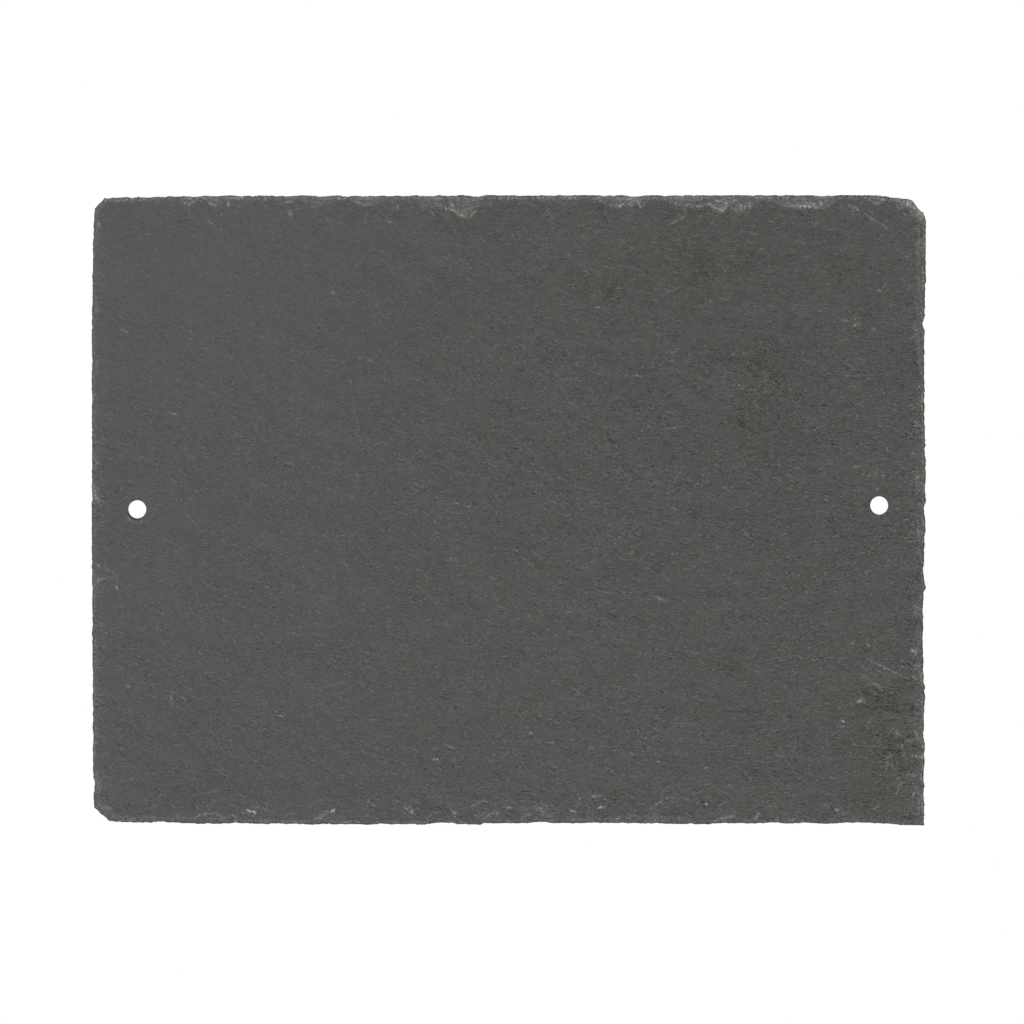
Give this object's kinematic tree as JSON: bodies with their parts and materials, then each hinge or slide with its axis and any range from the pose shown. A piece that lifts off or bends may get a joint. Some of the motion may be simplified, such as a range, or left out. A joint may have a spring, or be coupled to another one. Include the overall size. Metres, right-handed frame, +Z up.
{
  "type": "house sign",
  "caption": "Blank rectangular house sign of natural slate, with hand-dressed chipped edges and a screw hole at each side.",
  "frame": {"origin": "middle of the panel's nominal rectangle, on the flat back face that lies against the wall", "axes": "+Z up and +X to the right as the sign is read; +Y into the wall, so the face looks along -Y"},
  "size_m": [0.3, 0.006, 0.2268],
  "materials": {
    "slate": "matte"
  },
  "bodies": {
    "root": {"slate_panel": "slate"}
  },
  "joints": []
}
